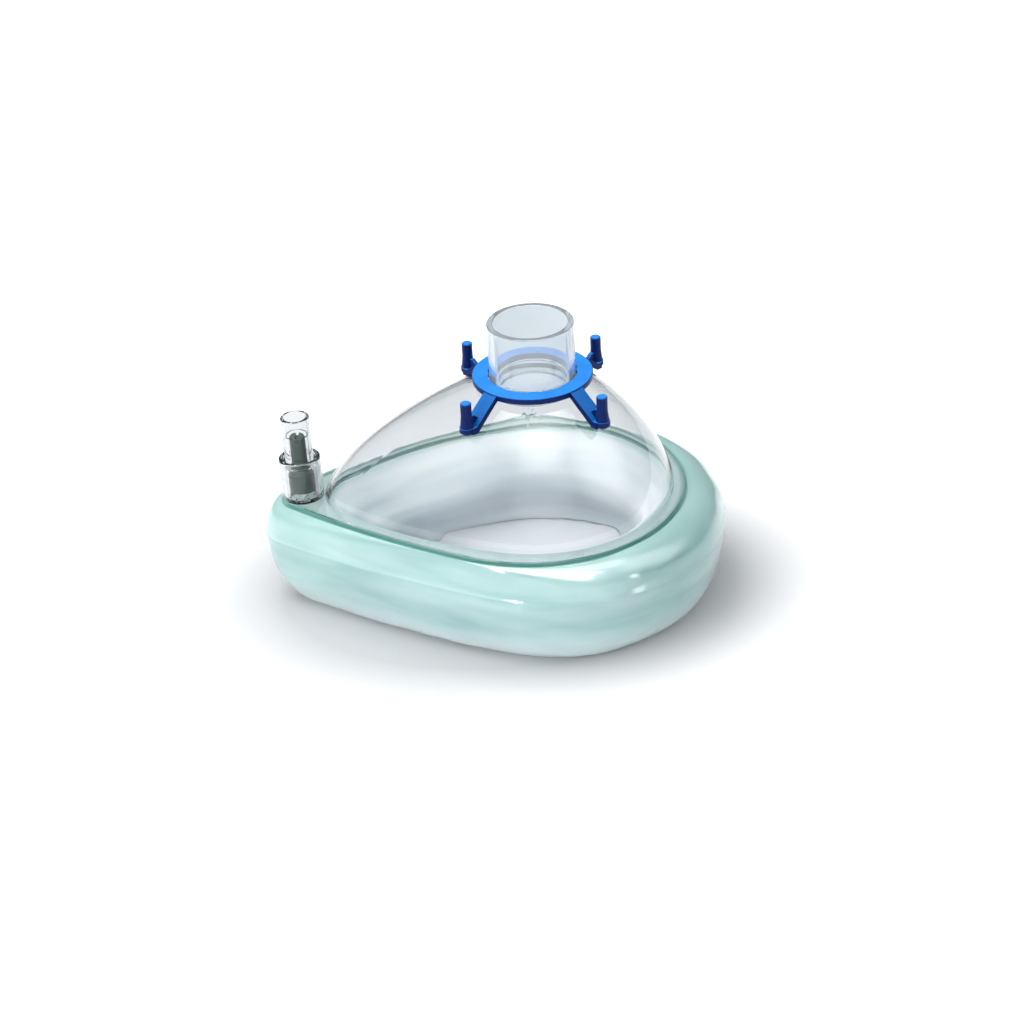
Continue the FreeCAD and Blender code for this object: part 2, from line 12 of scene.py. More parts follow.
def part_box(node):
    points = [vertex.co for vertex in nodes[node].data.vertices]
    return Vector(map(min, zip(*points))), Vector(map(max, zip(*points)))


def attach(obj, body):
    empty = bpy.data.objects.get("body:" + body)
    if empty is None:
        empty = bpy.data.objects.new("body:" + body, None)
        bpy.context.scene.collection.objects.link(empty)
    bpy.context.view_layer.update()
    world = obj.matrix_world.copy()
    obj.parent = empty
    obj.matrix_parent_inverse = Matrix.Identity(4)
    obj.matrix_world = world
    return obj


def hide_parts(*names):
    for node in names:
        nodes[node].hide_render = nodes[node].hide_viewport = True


MM = 0.001

# the camera
AIM = Vector((0.005545, -0.003964, 0.02819))
AZIMUTH = math.radians(1.1)
ELEVATION = math.radians(31.07)
ROLL = math.radians(3.31)
DISTANCE = 0.6
LENS = 68.13

# teardrop outlines in mm: distance of the nose arc's centre behind the socket's axis, distance
# between the two arcs' centres, and the radii of the nose, chin and side arcs
BELLY = (75.0, 81.9, 10.7, 50.85, 460.0)
FOOT = (63.5, 69.0, 9.0, 41.8, 430.0)
LAND = (71.6, 71.0, 7.7, 46.4, 300.0)
HOLE = (47.0, 44.4, 10.0, 35.6, 127.0)
ROOT = (50.6, 51.3, 15.3, 41.3, 124.0)
# the exponent of the cushion's round profile, and the angle between its rings in degrees
FULLNESS = 2.0
RING_STEP = 9
# sizes in mm: the widest outline below the flange, the hole's narrowest height and its flare at
# the face, the flange's and the dome's, the moulding seam, and the film's gap under the flange
BELLY_DROP = 10.3
HOLE_NARROW = 19.0
HOLE_FLARE = 2.4
FLANGE_INSET = 0.7
FLANGE_THICKNESS = 1.4
DOME_WALL = 1.3
SEAM_RIDGE = 0.3
FILM_GAP = 0.06
# the welded lip, a thin wall of film round the flange's outer edge: how far it stands out from
# the edge, and how far its top is below the flange's, in mm
LIP_OUTSIDE = 0.16
LIP_MIDDLE = 0.10
LIP_INSIDE = 0.04
LIP_DROP = 0.1
# heights in mm: the band of painted light above the foot, and the middle and spread of the inner wall's
# painted shade
FOOT_LIGHT_BAND = 12.0
SHADE_HEIGHT = 9.0
SHADE_SPREAD = 6.0
# the film's relief, as height and length in mm: slow swells and finer ones
SWELL = (0.7, 22)
FINE_SWELL = (0.18, 9)
# the hole's wall has level streaks: height in mm, and lengths along X, Y and Z
STREAK = 0.9
STREAK_LENGTHS = (60, 60, 7)
# the cloth pass: its frames, and the furthest that it may move the film
CLOTH_FRAMES = 20
PUFF_LIMIT = 1.2 * MM
# soft glows of the surroundings: azimuth, elevation, core, reach (degrees) and strength
GLOWS = (
    (0.0, 78.0, 6.0, 34.0, 9.0),
    (0.0, 40.0, 4.0, 34.0, 2.5),
    (-62.0, 34.0, 2.0, 26.0, 2.5),
    (75.0, 38.0, 2.0, 32.0, 4.0),
)
# dimples and creases of the film: middle in mm, direction, half length, half width and lift in mm
CREASES = (
    ((6.5, -50.5, 21.5), (0.3, 0.0, -1.0), 3.0, 2.4, 1.5),
    ((12.6, -48.5, 14.4), (0.74, 0.0, -0.67), 5.0, 1.2, 0.5),
    ((42.4, -46.1, 26.7), (0.90, 0.42, 0.05), 7.0, 1.3, -0.4),
    ((38.0, -42.5, 5.5), (1.0, 0.3, -0.4), 1.8, 1.3, 0.6),
    ((45.5, -39.0, 6.0), (1.0, 0.3, -0.4), 1.8, 1.3, 0.6),
    ((-45.0, -24.0, 27.0), (0.86, -0.5, -0.1), 9.0, 1.6, -0.5),
    ((66.0, -12.0, 27.0), (0.3, 0.95, 0.1), 7.0, 1.4, -0.5),
    ((30.0, 47.0, 24.0), (0.9, -0.4, 0.3), 6.0, 1.5, -0.5),
)
# points on the nose arc, a side arc, the chin arc and the other side arc
ARC_POINTS = (20, 30, 46, 30)
# the floor: half its width, its drop below the object, and its white away from the object, which
# starts and is full at these distances, nearer in front and behind by the squeeze
FLOOR_HALF = 6.0
FLOOR_DROP = 0.00005
WHITE_START = 0.068
WHITE_FULL = 0.138
WHITE_SQUEEZE = 1.45

scene = bpy.context.scene


# ---------------------------------------------------------------- camera, floor and lights


def make_camera():
    """The camera, aimed at the object from a little above, and rolled slightly."""
    right = Vector((math.cos(AZIMUTH), math.sin(AZIMUTH), 0))
    back = Vector(
        (
            math.sin(AZIMUTH) * math.cos(ELEVATION),
            -math.cos(AZIMUTH) * math.cos(ELEVATION),
            math.sin(ELEVATION),
        )
    )
    up = back.cross(right)
    axis_x = right * math.cos(ROLL) - up * math.sin(ROLL)
    axis_y = right * math.sin(ROLL) + up * math.cos(ROLL)
    data = bpy.data.cameras.new("camera")
    data.lens = LENS
    data.sensor_width = 36.0
    data.clip_start = 0.01
    camera = bpy.data.objects.new("camera", data)
    pose = Matrix((axis_x, axis_y, back)).transposed().to_4x4()
    pose.translation = AIM + back * DISTANCE
    camera.matrix_world = pose
    scene.collection.objects.link(camera)
    scene.camera = camera


def area_light(name, place, aim, size, radiance):
    """A rectangular lamp that shines at a point; its power follows from its size and radiance."""
    data = bpy.data.lights.new(name, "AREA")
    data.shape = "RECTANGLE"
    data.size, data.size_y = size
    data.energy = radiance * math.pi * size[0] * size[1]
    lamp = bpy.data.objects.new(name, data)
    lamp.location = place
    lamp.rotation_euler = (Vector(aim) - Vector(place)).to_track_quat("-Z", "Y").to_euler()
    lamp.visible_camera = False
    scene.collection.objects.link(lamp)
    return lamp


def add_glow(tree, sight, mirrored, azimuth, elevation, core, reach, strength):
    """A soft round patch of light in the surroundings. Its angles are degrees.

    The azimuth runs from the front, -Y, towards +X. The patch is even out to its core and gone
    at its reach.
    """
    flat = math.cos(math.radians(elevation))
    towards = (
        math.sin(math.radians(azimuth)) * flat,
        -math.cos(math.radians(azimuth)) * flat,
        math.sin(math.radians(elevation)),
    )
    near = tree.nodes.new("ShaderNodeVectorMath")
    near.operation = "DOT_PRODUCT"
    near.inputs[1].default_value = towards
    fade = tree.nodes.new("ShaderNodeMapRange")
    fade.interpolation_type = "SMOOTHSTEP"
    fade.inputs["From Min"].default_value = math.cos(math.radians(reach))
    fade.inputs["From Max"].default_value = math.cos(math.radians(core))
    fade.inputs["To Max"].default_value = strength
    glow = tree.nodes.new("ShaderNodeBackground")
    tree.links.new(sight, near.inputs[0])
    tree.links.new(near.outputs["Value"], fade.inputs["Value"])
    seen = tree.nodes.new("ShaderNodeMath")
    seen.operation = "MULTIPLY"
    tree.links.new(fade.outputs["Result"], seen.inputs[0])
    tree.links.new(mirrored, seen.inputs[1])
    tree.links.new(seen.outputs[0], glow.inputs["Strength"])
    return glow.outputs[0]


def make_world():
    """Soft white surroundings, brighter overhead than at the horizon, with a few soft glows."""
    world = bpy.data.worlds.new("studio")
    world.use_nodes = True
    scene.world = world
    tree = world.node_tree
    tree.nodes.clear()
    place = tree.nodes.new("ShaderNodeTexCoord")
    sight = place.outputs["Generated"]
    split = tree.nodes.new("ShaderNodeSeparateXYZ")
    ramp = tree.nodes.new("ShaderNodeValToRGB")
    ramp.color_ramp.elements[0].position = 0.0
    ramp.color_ramp.elements[0].color = (0.10, 0.105, 0.12, 1)
    ramp.color_ramp.elements[1].position = 0.75
    ramp.color_ramp.elements[1].color = (0.80, 0.80, 0.82, 1)
    surround = tree.nodes.new("ShaderNodeBackground")
    tree.links.new(sight, split.inputs[0])
    tree.links.new(split.outputs["Z"], ramp.inputs["Fac"])
    tree.links.new(ramp.outputs["Color"], surround.inputs["Color"])
    path = tree.nodes.new("ShaderNodeLightPath")
    # only rays that a surface mirrors meet the glows, so the glows light nothing by themselves
    mirrored = tree.nodes.new("ShaderNodeMath")
    mirrored.operation = "SUBTRACT"
    mirrored.use_clamp = True
    tree.links.new(path.outputs["Is Glossy Ray"], mirrored.inputs[0])
    tree.links.new(path.outputs["Is Transmission Ray"], mirrored.inputs[1])
    refracted = tree.nodes.new("ShaderNodeBackground")
    refracted.inputs["Color"].default_value = (0.52, 0.54, 0.55, 1)
    through = tree.nodes.new("ShaderNodeMixShader")
    tree.links.new(path.outputs["Is Transmission Ray"], through.inputs[0])
    tree.links.new(surround.outputs[0], through.inputs[1])
    tree.links.new(refracted.outputs[0], through.inputs[2])
    light = through.outputs[0]
    for glow in GLOWS:
        total = tree.nodes.new("ShaderNodeAddShader")
        tree.links.new(light, total.inputs[0])
        tree.links.new(add_glow(tree, sight, mirrored.outputs[0], *glow), total.inputs[1])
        light = total.outputs[0]
    plain = tree.nodes.new("ShaderNodeBackground")
    plain.inputs["Color"].default_value = (1, 1, 1, 1)
    mix = tree.nodes.new("ShaderNodeMixShader")
    output = tree.nodes.new("ShaderNodeOutputWorld")
    tree.links.new(path.outputs["Is Camera Ray"], mix.inputs[0])
    tree.links.new(light, mix.inputs[1])
    tree.links.new(plain.outputs[0], mix.inputs[2])
    tree.links.new(mix.outputs[0], output.inputs["Surface"])


def make_floor():
    """White paper. It fades to plain white away from the object, and bounces little light back."""
    data = bpy.data.meshes.new("floor")
    half = FLOOR_HALF
    corners = [(-half, -half, 0), (half, -half, 0), (half, half, 0), (-half, half, 0)]
    data.from_pydata(corners, [], [(0, 1, 2, 3)])
    floor = bpy.data.objects.new("floor", data)
    floor.location.z = -FLOOR_DROP
    scene.collection.objects.link(floor)
    material = bpy.data.materials.new("floor_paper")
    material.use_nodes = True
    tree = material.node_tree
    tree.nodes.clear()
    paper = tree.nodes.new("ShaderNodeBsdfDiffuse")
    paper.inputs["Color"].default_value = (0.44, 0.45, 0.46, 1)
    behind = tree.nodes.new("ShaderNodeBsdfDiffuse")
    behind.inputs["Color"].default_value = (0.62, 0.64, 0.66, 1)
    dim = tree.nodes.new("ShaderNodeBsdfDiffuse")
    dim.inputs["Color"].default_value = (0.52, 0.53, 0.56, 1)
    glow = tree.nodes.new("ShaderNodeEmission")
    place = tree.nodes.new("ShaderNodeTexCoord")
    distance = tree.nodes.new("ShaderNodeVectorMath")
    distance.operation = "LENGTH"
    fade = tree.nodes.new("ShaderNodeMapRange")
    fade.inputs["From Min"].default_value = WHITE_START
    fade.inputs["From Max"].default_value = WHITE_FULL
    fade.inputs["To Min"].default_value = 0.04
    fade.inputs["To Max"].default_value = 1.0
    stretched = tree.nodes.new("ShaderNodeVectorMath")
    stretched.operation = "MULTIPLY"
    stretched.inputs[1].default_value = (1.0, WHITE_SQUEEZE, 1.0)
    tree.links.new(place.outputs["Object"], stretched.inputs[0])
    tree.links.new(stretched.outputs["Vector"], distance.inputs[0])
    tree.links.new(distance.outputs["Value"], fade.inputs["Value"])
    tree.links.new(fade.outputs["Result"], glow.inputs["Strength"])
    lit = tree.nodes.new("ShaderNodeAddShader")
    tree.links.new(paper.outputs[0], lit.inputs[0])
    tree.links.new(glow.outputs[0], lit.inputs[1])
    path = tree.nodes.new("ShaderNodeLightPath")
    shown = lit.outputs[0]
    for kind, shader in (("Is Diffuse Ray", dim), ("Is Transmission Ray", behind)):
        mix = tree.nodes.new("ShaderNodeMixShader")
        tree.links.new(path.outputs[kind], mix.inputs[0])
        tree.links.new(shown, mix.inputs[1])
        tree.links.new(shader.outputs[0], mix.inputs[2])
        shown = mix.outputs[0]
    output = tree.nodes.new("ShaderNodeOutputMaterial")
    tree.links.new(shown, output.inputs["Surface"])
    data.materials.append(material)
    return floor


def link_lamps(name, lamps, pieces):
    """Let these lamps reach only the given pieces."""
    reached = bpy.data.collections.new(name)
    for piece in pieces:
        reached.objects.link(piece)
    for lamp in lamps:
        lamp.light_linking.receiver_collection = reached


def make_lights(cushion, floor, others):
    """Three lamps light all but the clear dome, and one inside it lights the cushion's hole.

    Three more are only mirrored, by the cushion's skin.
    """
    middle = (0.0, 0.0, 0.03)
    lamps = [
        area_light("overhead", (-0.20, 0.02, 0.56), middle, (0.45, 0.40), 4.8),
        area_light("left_fill", (-0.55, -0.40, 0.35), middle, (0.40, 0.30), 5.2),
        area_light("front_fill", (0.20, -0.80, 0.30), middle, (0.50, 0.30), 2.5),
    ]
    inner = area_light("inner", (0.014, 0.0, 0.062), (0.014, 0.0, 0.0), (0.020, 0.020), 15.0)
    mirrored = [
        area_light("window", (-0.34, -0.52, 0.09), middle, (0.11, 0.15), 20.0),
        area_light("window_right", (0.45, -0.40, 0.08), middle, (0.08, 0.12), 7.0),
        area_light("sky", (-0.22, -0.60, 0.52), middle, (1.10, 0.58), 11.0),
    ]
    for lamp in (*lamps, inner):
        lamp.visible_glossy = False
    inner.visible_transmission = False
    for lamp in mirrored:
        lamp.visible_diffuse = False
    link_lamps("lit_pieces", lamps, [cushion, floor, *others])
    link_lamps("lit_inside", [inner], [cushion, floor])
    link_lamps("mirrored_by_cushion", mirrored, [cushion])


# ---------------------------------------------------------------- materials


def new_material(name):
    """A new material with its node tree and its Principled shader."""
    material = bpy.data.materials.new(name)
    material.use_nodes = True
    return material, material.node_tree, material.node_tree.nodes["Principled BSDF"]


def add_noise(tree, scale, detail=2.0, stretch=(1, 1, 1)):
    """A cloudy value over the object, in object coordinates; scale is per metre."""
    place = tree.nodes.new("ShaderNodeTexCoord")
    mapping = tree.nodes.new("ShaderNodeMapping")
    mapping.inputs["Scale"].default_value = stretch
    cloud = tree.nodes.new("ShaderNodeTexNoise")
    cloud.inputs["Scale"].default_value = scale
    cloud.inputs["Detail"].default_value = detail
    tree.links.new(place.outputs["Object"], mapping.inputs["Vector"])
    tree.links.new(mapping.outputs["Vector"], cloud.inputs["Vector"])
    return cloud.outputs["Fac"]


def add_range(tree, source, low, high):
    """Rescale a 0 to 1 value to run from low to high."""
    spread = tree.nodes.new("ShaderNodeMapRange")
    spread.inputs["To Min"].default_value = low
    spread.inputs["To Max"].default_value = high
    tree.links.new(source, spread.inputs["Value"])
    return spread.outputs["Result"]


def add_bump(tree, shader, height, distance, strength=1.0):
    """Let the shader's surface rise with a 0 to 1 height, up to the distance."""
    bump = tree.nodes.new("ShaderNodeBump")
    bump.inputs["Strength"].default_value = strength
    bump.inputs["Distance"].default_value = distance
    tree.links.new(height, bump.inputs["Height"])
    tree.links.new(bump.outputs["Normal"], shader.inputs["Normal"])


def blend_colours(tree, factor, first, second):
    """A colour that goes from the first to the second as the factor goes from 0 to 1."""
    mix = tree.nodes.new("ShaderNodeMix")
    mix.data_type = "RGBA"
    tree.links.new(factor, mix.inputs["Factor"])
    for socket, colour in ((mix.inputs[6], first), (mix.inputs[7], second)):
        if isinstance(colour, tuple):
            socket.default_value = colour
        else:
            tree.links.new(colour, socket)
    return mix.outputs[2]


def clear_plastic(name, tint, absorb, ior, roughness, wobble, haze=0.0, base=(1, 1, 1, 1)):
    """Clear moulded plastic, greyer where it is thick, with faint flow waves; lamps shine through it."""
    material, tree, shader = new_material(name)
    shader.inputs["Base Color"].default_value = base
    shader.inputs["Transmission Weight"].default_value = 1.0 - haze
    shader.inputs["IOR"].default_value = ior
    waves = add_noise(tree, 60.0, 1.0, (1, 1, 0.4))
    tree.links.new(add_range(tree, waves, roughness * 0.6, roughness * 1.4), shader.inputs["Roughness"])
    add_bump(tree, shader, waves, wobble)
    open_air = tree.nodes.new("ShaderNodeBsdfTransparent")
    open_air.inputs["Color"].default_value = (1, 1, 1, 1)
    path = tree.nodes.new("ShaderNodeLightPath")
    mix = tree.nodes.new("ShaderNodeMixShader")
    output = tree.nodes["Material Output"]
    tree.links.new(path.outputs["Is Shadow Ray"], mix.inputs[0])
    tree.links.new(shader.outputs[0], mix.inputs[1])
    tree.links.new(open_air.outputs[0], mix.inputs[2])
    tree.links.new(mix.outputs[0], output.inputs["Surface"])
    body = tree.nodes.new("ShaderNodeVolumeAbsorption")
    body.inputs["Color"].default_value = tint
    body.inputs["Density"].default_value = absorb
    tree.links.new(body.outputs[0], output.inputs["Volume"])
    return material


def moulded_plastic(name, dark, light, roughness, grain_mm):
    """Opaque moulded plastic with a fine grain and slightly uneven colour."""
    material, tree, shader = new_material(name)
    clouds = add_noise(tree, 180.0, 3.0)
    colour = blend_colours(tree, add_range(tree, clouds, -0.6, 1.6), dark, light)
    tree.links.new(colour, shader.inputs["Base Color"])
    tree.links.new(add_range(tree, clouds, roughness * 0.8, roughness * 1.2), shader.inputs["Roughness"])
    grain = add_noise(tree, 2500.0, 2.0)
    add_bump(tree, shader, grain, grain_mm * MM, 0.5)
    return material


def blue_plastic():
    """Deep azure plastic with painted light and shade: azure where it faces up, navy on its upright sides.
    """
    material = moulded_plastic("blue_plastic", (0.010, 0.18, 0.58, 1), (0.020, 0.23, 0.72, 1), 0.42, 0.02)
    tree = material.node_tree
    shader = tree.nodes["Principled BSDF"]
    azure = shader.inputs["Base Color"].links[0].from_socket
    # painted light and shade: the colour goes from navy to azure as the surface turns to face up
    facing = tree.nodes.new("ShaderNodeNewGeometry")
    split = tree.nodes.new("ShaderNodeSeparateXYZ")
    painted_top_light = tree.nodes.new("ShaderNodeMapRange")
    painted_top_light.inputs["From Min"].default_value = 0.52
    tree.links.new(facing.outputs["Normal"], split.inputs[0])
    tree.links.new(split.outputs["Z"], painted_top_light.inputs["Value"])
    colour = blend_colours(tree, painted_top_light.outputs["Result"], (0.0, 0.012, 0.10, 1), azure)
    tree.links.new(colour, shader.inputs["Base Color"])
    shader.inputs["Specular IOR Level"].default_value = 0.15
    return material


def named_value(tree, name):
    """A value that the cushion's mesh carries at each point."""
    source = tree.nodes.new("ShaderNodeAttribute")
    source.attribute_name = name
    return source.outputs["Fac"]


def vinyl_film():
    """Pale green translucent vinyl: painted shade on its crest, painted light at its foot, deeper teal at
    its weld from doubled film and painted groove shade, and pale inside with painted reflection streaks.
    """
    material, tree, shader = new_material("green_vinyl")
    clouds = add_noise(tree, 62.0, 2.0, (0.4, 0.4, 1.6))
    patches = add_range(tree, clouds, -0.9, 1.9)
    colour = blend_colours(tree, patches, (0.34, 0.60, 0.56, 1), (0.60, 0.84, 0.81, 1))
    # painted reflection: level pale and grey streaks on the film inside the hole
    streaks = add_range(tree, add_noise(tree, 70.0, 2.0, (0.2, 0.2, 1.6)), -0.7, 1.7)
    pale_lining_painted_streaks = blend_colours(tree, streaks, (0.66, 0.70, 0.76, 1), (1.0, 1.0, 1.0, 1))
    layers = (
        # painted shade: a darker teal towards the crest
        ("crest", (0.26, 0.50, 0.46, 1)),
        # painted light: a paler band above the foot
        ("foot", (0.84, 0.93, 0.93, 1)),
        ("inside", pale_lining_painted_streaks),
        ("shade", (0.36, 0.39, 0.45, 1)),
        # partly real and partly painted: deeper teal where the doubled film is welded, and painted shade
        # of the groove under the flange's edge
        ("weld", (0.12, 0.36, 0.31, 1)),
    )
    for name, layer in layers:
        colour = blend_colours(tree, named_value(tree, name), colour, layer)
    tree.links.new(colour, shader.inputs["Base Color"])
    tree.links.new(add_range(tree, clouds, 0.16, 0.30), shader.inputs["Roughness"])
    shader.inputs["Transmission Weight"].default_value = 0.42
    shader.inputs["IOR"].default_value = 1.15
    outside = tree.nodes.new("ShaderNodeMath")
    outside.operation = "SUBTRACT"
    outside.inputs[0].default_value = 1.0
    tree.links.new(named_value(tree, "inside"), outside.inputs[1])
    tree.links.new(outside.outputs[0], shader.inputs["Coat Weight"])
    shader.inputs["Coat IOR"].default_value = 1.6
    shader.inputs["Sheen Weight"].default_value = 0.25
    shader.inputs["Coat Roughness"].default_value = 0.10
    ripples = add_noise(tree, 220.0, 2.0)
    add_bump(tree, shader, ripples, 0.06 * MM)
    return material


def spring_steel():
    """Drawn steel wire, with fine streaks in its colour and gloss."""
    material, tree, shader = new_material("spring_wire")
    shader.inputs["Metallic"].default_value = 1.0
    streaks = add_noise(tree, 900.0, 2.0, (1, 1, 6))
    colour = blend_colours(tree, streaks, (0.40, 0.40, 0.41, 1), (0.62, 0.62, 0.63, 1))
    tree.links.new(colour, shader.inputs["Base Color"])
    tree.links.new(add_range(tree, streaks, 0.22, 0.38), shader.inputs["Roughness"])
    return material


def finish_node(node, material):
    """Give a CAD node its finish in its object's slots, so that its mesh stays as it was packed."""
    for slot in node.material_slots:
        slot.link = "OBJECT"
        slot.material = material


# ---------------------------------------------------------------- outlines and skins


def grown(outline, by):
    """The outline moved outwards all round."""
    reach, span, nose, chin, side = outline
    return (reach, span, nose + by, chin + by, side + by)


def between(first, last, share):
    """The outline at this share of the way from the first to the last."""
    return tuple(a * (1 - share) + b * share for a, b in zip(first, last))


def teardrop_points(outline):
    """Points round a teardrop in mm, evenly spread over each arc and anticlockwise from the nose."""
    reach, span, nose, chin, side = outline
    # a side arc touches both end arcs from outside, so its centre is this far from theirs
    to_nose = side - nose
    to_chin = side - chin
    along = (to_nose**2 - to_chin**2 + span**2) / (2 * span)
    across = math.sqrt(to_nose**2 - along**2)
    at_nose = math.atan2(across, -along)
    at_chin = math.atan2(across, span - along)
    turn = 2 * math.pi
    arcs = [
        (-reach, 0, nose, at_nose, turn - at_nose),
        (along - reach, across, side, turn - at_nose, turn - at_chin),
        (span - reach, 0, chin, -at_chin, at_chin),
        (along - reach, -across, side, at_chin, at_nose),
    ]
    points = []
    for (x, y, radius, first, last), count in zip(arcs, ARC_POINTS):
        for step in range(count):
            angle = first + (last - first) * step / count
            points.append((x + radius * math.cos(angle), y + radius * math.sin(angle)))
    return points


def make_skin(name, rings):
    """A closed skin through rings of outline and height in mm, the last joined to the first."""
    low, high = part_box("connector_tube")
    axis_x = (low.x + high.x) / 2
    vertices = []
    for outline, height in rings:
        for x, y in teardrop_points(outline):
            vertices.append((axis_x + x * MM, y * MM, height * MM))
    around = sum(ARC_POINTS)
    faces = []
    for ring in range(len(rings)):
        following = (ring + 1) % len(rings)
        for step in range(around):
            beside = (step + 1) % around
            faces.append(
                (
                    ring * around + step,
                    ring * around + beside,
                    following * around + beside,
                    following * around + step,
                )
            )
    data = bpy.data.meshes.new(name)
    data.from_pydata(vertices, [], faces)
    piece = bpy.data.objects.new(name, data)
    scene.collection.objects.link(piece)
    return piece


# ---------------------------------------------------------------- the air cushion


def cushion_rings(flange):
    """The cushion's closed cross-section as rings: outline, height in mm, weld and inside shares; the weld
    share also deepens the colour, partly as painted shade of the groove.
    """
    belly_height = flange - BELLY_DROP
    crest = grown(LAND, 0.5)
    crest_height = flange + 0.4
    power = 2 / FULLNESS
    rings = []
    for turn in range(90, 0, -RING_STEP):
        share = 1 - math.cos(math.radians(turn)) ** power
        height = belly_height * (1 - math.sin(math.radians(turn)) ** power)
        rings.append((between(BELLY, FOOT, share), height, 0.0, 0.0))
    for rise, ridge in ((-0.8, 0.0), (-0.3, SEAM_RIDGE), (0.3, SEAM_RIDGE), (0.8, 0.0)):
        rings.append((grown(BELLY, ridge), belly_height + rise, 0.0, 0.0))
    for turn in range(2 * RING_STEP, 91, RING_STEP):
        share = 1 - math.cos(math.radians(turn)) ** power
        height = belly_height + (crest_height - belly_height) * math.sin(math.radians(turn)) ** power
        rings.append((between(BELLY, crest, share), height, 0.0, 0.0))
    edge = -FLANGE_INSET
    lip = flange + FLANGE_THICKNESS - LIP_DROP
    rings.append((grown(LAND, 0.25), flange + 0.15, 0.25, 0.0))
    rings.append((grown(LAND, -0.15), flange - 0.4, 0.8, 0.0))
    # the welded lip: up its outside, over its top and down its inside
    for outward, height in (
        (0.30, flange - 0.3),
        (0.18, flange + 0.2),
        (LIP_OUTSIDE, lip - 0.1),
        (LIP_MIDDLE, lip),
        (LIP_INSIDE, lip - 0.1),
        (LIP_INSIDE, flange - 0.3),
    ):
        rings.append((grown(LAND, edge + outward), height, 1.0, 0.0))
    rings.append((grown(LAND, edge - 0.6), flange - FILM_GAP, 0.5, 0.0))
    top = grown(ROOT, -DOME_WALL * 1.3)
    for share in (0.2, 0.5, 0.8, 1.0):
        outline = between(grown(LAND, edge - 0.6), grown(top, 0.4), share)
        rings.append((outline, flange - FILM_GAP, 0.15, 0.5))
    for turn in range(RING_STEP, 91, RING_STEP):
        share = math.sin(math.radians(turn))
        height = flange - FILM_GAP - (flange - HOLE_NARROW) * (1 - math.cos(math.radians(turn)))
        rings.append((between(top, HOLE, share), height, 0.0, min(turn / (2 * RING_STEP), 1.0)))
    for share, grow in ((0.85, 0.1), (0.6, 0.3), (0.4, 0.5), (0.2, 0.72), (0.07, 0.9), (0.0, 1.3)):
        rings.append((grown(HOLE, HOLE_FLARE * grow), HOLE_NARROW * share, 0.0, 1.0))
    rings.append((between(grown(HOLE, HOLE_FLARE * 1.3), FOOT, 0.5), 0.0, 0.0, 0.0))
    return rings


def inflate(piece, held, limit):
    """Puff the vinyl skin up between its held rings with a cloth pass, then cap how far it moved."""
    rest = [vertex.co.copy() for vertex in piece.data.vertices]
    group = piece.vertex_groups.new(name="held")
    group.add(held, 1.0, "REPLACE")
    cloth = piece.modifiers.new("inflate", "CLOTH")
    settings = cloth.settings
    settings.quality = 6
    settings.mass = 0.2
    settings.tension_stiffness = 20.0
    settings.compression_stiffness = 20.0
    settings.bending_stiffness = 2.0
    settings.use_pressure = True
    settings.uniform_pressure_force = 4.0
    settings.vertex_group_mass = "held"
    settings.effector_weights.gravity = 0.0
    cloth.collision_settings.use_collision = False
    scene.frame_start = 1
    scene.frame_end = CLOTH_FRAMES
    for frame_number in range(1, CLOTH_FRAMES + 1):
        scene.frame_set(frame_number)
    shape = piece.evaluated_get(bpy.context.evaluated_depsgraph_get())
    puffed = [vertex.co.copy() for vertex in shape.data.vertices]
    piece.modifiers.remove(cloth)
    piece.vertex_groups.clear()
    for vertex, before, after in zip(piece.data.vertices, rest, puffed):
        move = after - before
        if move.length > limit:
            move *= limit / move.length
        vertex.co = before + move
    scene.frame_set(1)


def refine(piece, levels):
    """Replace the piece's mesh by its smoothly subdivided form."""
    smooth = piece.modifiers.new("smooth", "SUBSURF")
    smooth.levels = levels
    graph = bpy.context.evaluated_depsgraph_get()
    shape = piece.evaluated_get(graph)
    dense = bpy.data.meshes.new_from_object(shape, preserve_all_data_layers=True, depsgraph=graph)
    piece.modifiers.remove(smooth)
    piece.data = dense


def point_values(data, name):
    """The values of one of the mesh's attributes, point by point."""
    values = [0.0] * len(data.vertices)
    data.attributes[name].data.foreach_get("value", values)
    return values


def crease_lift(place):
    """How far the creases raise the film at a place, both in mm."""
    lift = 0.0
    for middle, direction, half_length, half_width, rise in CREASES:
        offset = place - Vector(middle)
        if offset.length_squared < 9 * half_length**2:
            along = offset.dot(Vector(direction).normalized())
            across = offset.length_squared - along**2
            lift += rise * math.exp(-((along / half_length) ** 2) - across / half_width**2)
    return lift


def ripple(data):
    """Slow swells, streaks and creases in the film, so that its highlights wander."""
    free = point_values(data, "free")
    inside = point_values(data, "inside")
    normals = [vertex.normal.copy() for vertex in data.vertices]
    swell, swell_length = SWELL
    fine, fine_length = FINE_SWELL
    for index, vertex in enumerate(data.vertices):
        place = vertex.co / MM
        lift = swell * noise.noise(place / swell_length)
        lift += fine * noise.noise(place / fine_length + Vector((7, 3, 5)))
        if inside[index] > 0:
            along_x, along_y, along_z = STREAK_LENGTHS
            lift += STREAK * noise.noise(Vector((place.x / along_x, place.y / along_y, place.z / along_z)))
        else:
            lift += crease_lift(place)
        vertex.co += normals[index] * lift * free[index] * MM


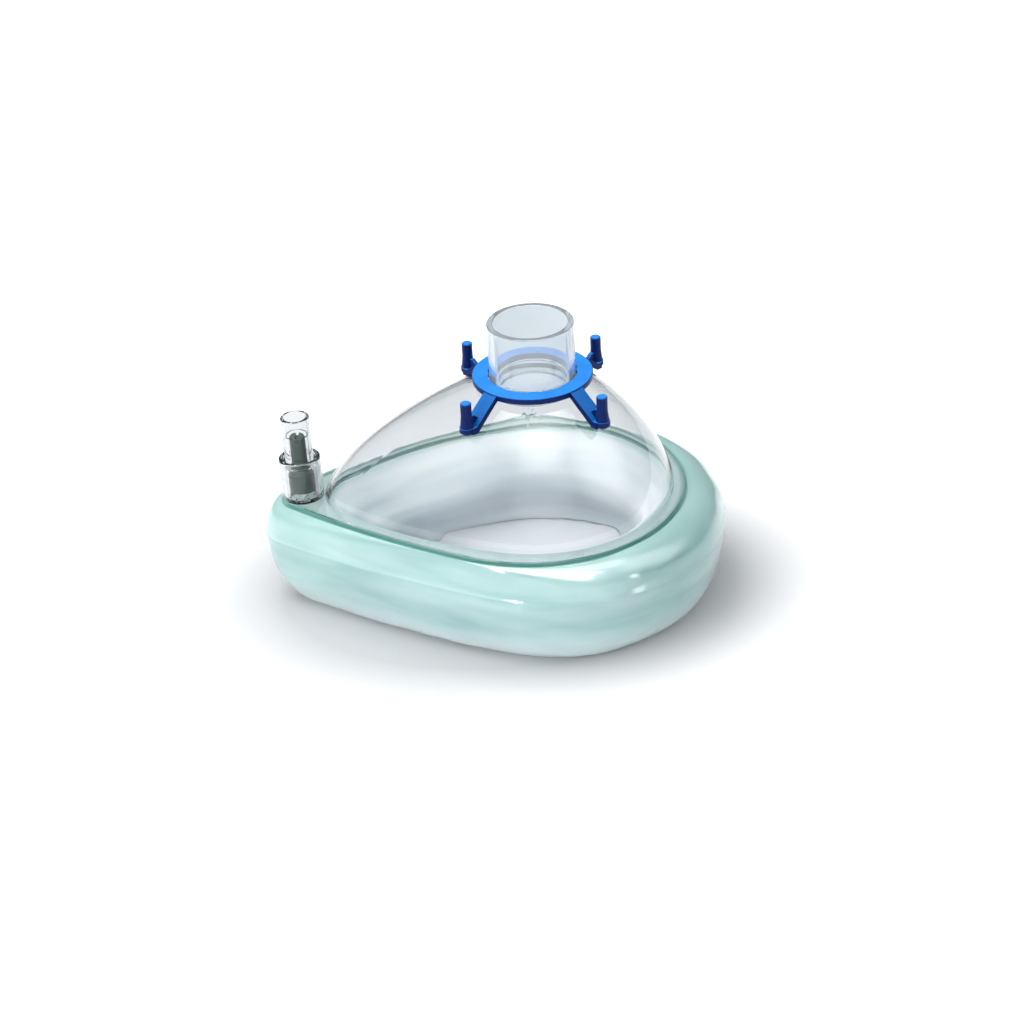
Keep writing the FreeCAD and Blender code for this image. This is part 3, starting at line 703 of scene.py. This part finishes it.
def ring_attributes(rings, flange):
    """The share of each colour layer at each ring, painted light and shade among them, and whether the
    film is free to move there.
    """
    belly_height = flange - BELLY_DROP
    layers = {"weld": [], "inside": [], "foot": [], "crest": [], "shade": [], "free": []}
    for outline, height, weld, inside in rings:
        up = (height - belly_height) / BELLY_DROP
        low = (height - SHADE_HEIGHT) / SHADE_SPREAD
        layers["weld"].append(weld)
        layers["inside"].append(inside)
        # painted light: the paler band at the foot fades out with height
        layers["foot"].append(max(0.0, 1.0 - height / FOOT_LIGHT_BAND) * (1.0 - inside))
        # painted shade: the darker teal grows towards the crest
        layers["crest"].append(min(max(up * 1.4 - 0.4, 0.0), 1.0) * (1.0 - inside) * 0.5)
        layers["shade"].append(0.85 * inside * math.exp(-low * low))
        layers["free"].append(0.0 if weld > 0 or height < 0.5 else 1.0)
    return layers


def make_cushion():
    """The cushion's vinyl skin: rings, a cloth pass, a finer mesh and then the film's relief."""
    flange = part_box("dome_shell")[0].z / MM
    rings = cushion_rings(flange)
    piece = make_skin("cushion_vinyl", [(outline, height) for outline, height, weld, inside in rings])
    data = piece.data
    around = sum(ARC_POINTS)
    layers = ring_attributes(rings, flange)
    for name, shares in layers.items():
        values = [share for share in shares for step in range(around)]
        data.attributes.new(name, "FLOAT", "POINT").data.foreach_set("value", values)
    held = [index for index, free in enumerate(point_values(data, "free")) if free == 0]
    inflate(piece, held, PUFF_LIMIT)
    refine(piece, 2)
    data = piece.data
    ripple(data)
    data.shade_smooth()
    data.materials.append(vinyl_film())
    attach(piece, "mask")
    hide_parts("air_cushion")
    return piece


# ---------------------------------------------------------------- the scene

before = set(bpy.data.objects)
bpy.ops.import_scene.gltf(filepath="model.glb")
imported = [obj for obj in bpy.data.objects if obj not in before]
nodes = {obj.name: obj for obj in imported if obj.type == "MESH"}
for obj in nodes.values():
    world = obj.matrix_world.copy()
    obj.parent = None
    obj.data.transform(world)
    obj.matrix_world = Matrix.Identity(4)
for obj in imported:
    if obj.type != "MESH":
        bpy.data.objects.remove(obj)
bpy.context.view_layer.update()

scene.view_settings.view_transform = "Standard"
make_camera()
make_world()
floor = make_floor()

shell = clear_plastic("clear_shell", (0.42, 0.46, 0.50, 1), 48.0, 1.46, 0.02, 0.02 * MM)
tube = clear_plastic(
    "clear_tube", (0.50, 0.54, 0.58, 1), 30.0, 1.40, 0.02, 0.01 * MM, 0.10, (0.82, 0.87, 0.89, 1)
)
valve = clear_plastic("clear_valve", (0.48, 0.52, 0.50, 1), 35.0, 1.30, 0.02, 0.005 * MM)
stem = moulded_plastic("stem_plastic", (0.010, 0.026, 0.019, 1), (0.020, 0.042, 0.032, 1), 0.5, 0.02)
rubber = moulded_plastic("seal_rubber", (0.026, 0.045, 0.038, 1), (0.04, 0.065, 0.055, 1), 0.6, 0.02)
NODE_MATERIALS = {
    "dome_shell": shell,
    "connector_tube": tube,
    "hook_ring": blue_plastic(),
    "valve_cup": valve,
    "valve_base": valve,
    "valve_housing": valve,
    "valve_stem": stem,
    "valve_seal": rubber,
    "valve_spring": spring_steel(),
}
for name, material in NODE_MATERIALS.items():
    finish_node(nodes[name], material)

others = [nodes[name] for name in NODE_MATERIALS if name != "dome_shell"]
make_lights(make_cushion(), floor, others)
